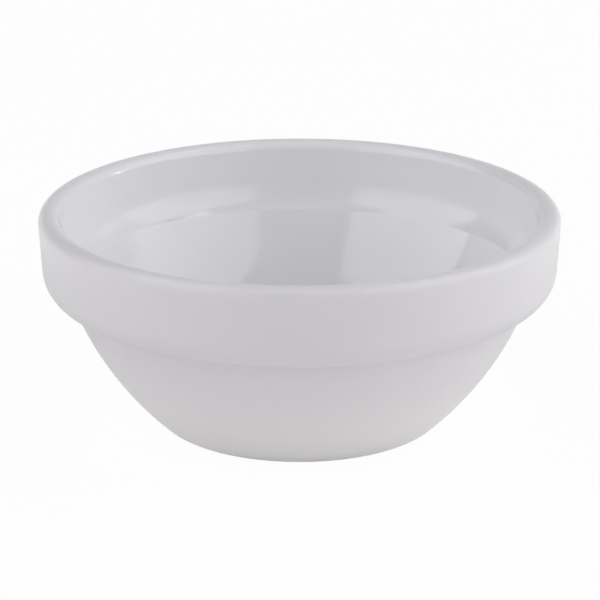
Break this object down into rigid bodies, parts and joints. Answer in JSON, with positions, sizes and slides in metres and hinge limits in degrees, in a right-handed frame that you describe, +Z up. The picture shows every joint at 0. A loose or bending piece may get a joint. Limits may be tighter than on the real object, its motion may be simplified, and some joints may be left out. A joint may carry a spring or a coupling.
{
  "type": "sauce pot",
  "caption": "Small round stackable sauce pot in glossy white plastic: rounded bowl on a flat foot, upright stacking band over a quarter-round shoulder, full-round lip and a soft step inside.",
  "frame": {"origin": "centre of the flat surface that the pot stands on", "axes": "+Z up along the pot's axis of revolution; X and Y are alike"},
  "size_m": [0.07, 0.07, 0.0298],
  "materials": {
    "white_plastic": "satin moulded white",
    "white_glaze": "high-gloss white glaze"
  },
  "bodies": {
    "root": {"pot_body": "white_plastic", "inner_glaze": "white_glaze"}
  },
  "joints": []
}
